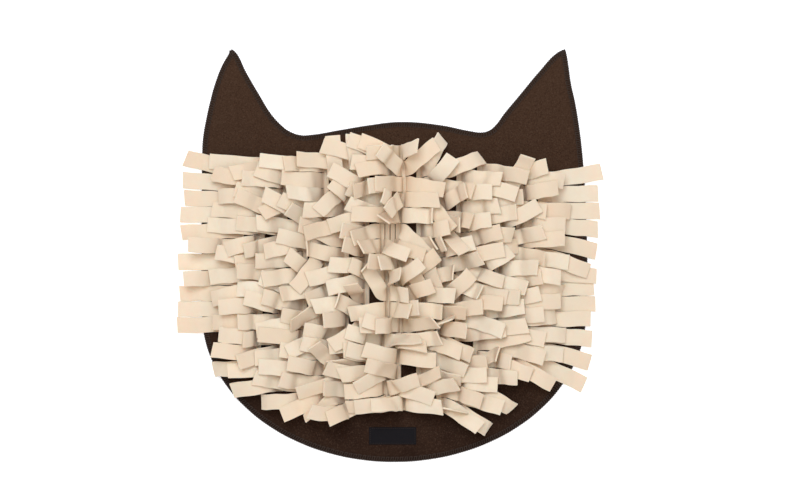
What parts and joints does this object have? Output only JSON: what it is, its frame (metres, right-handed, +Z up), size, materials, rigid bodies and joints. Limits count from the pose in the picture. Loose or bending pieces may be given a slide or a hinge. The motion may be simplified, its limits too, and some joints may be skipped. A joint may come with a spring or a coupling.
{
  "type": "snuffle mat",
  "caption": "Flat cat's-head snuffle mat: a dark felt base with pointed ears, covered by rows of cream fleece strips that hide treats.",
  "frame": {"origin": "on the underside of the base, at the middle of the head between the ear tips and the chin", "axes": "+Z up out of the mat, +Y from the chin towards the ears, +X to the right seen from above"},
  "size_m": [0.4706, 0.4541, 0.0687],
  "materials": {
    "felt": "matt brushed felt",
    "fleece": "soft matt fleece",
    "woven_label": "fine satin weave"
  },
  "bodies": {
    "root": {"base": "felt", "label": "woven_label", "fringe_01": "fleece", "fringe_02": "fleece", "fringe_03": "fleece", "fringe_04": "fleece", "fringe_05": "fleece", "fringe_06": "fleece", "fringe_07": "fleece", "fringe_08": "fleece", "fringe_09": "fleece", "fringe_10": "fleece", "fringe_11": "fleece", "fringe_12": "fleece", "fringe_13": "fleece", "fringe_14": "fleece", "fringe_15": "fleece", "fringe_16": "fleece", "fringe_17": "fleece", "fringe_18": "fleece"}
  },
  "joints": []
}
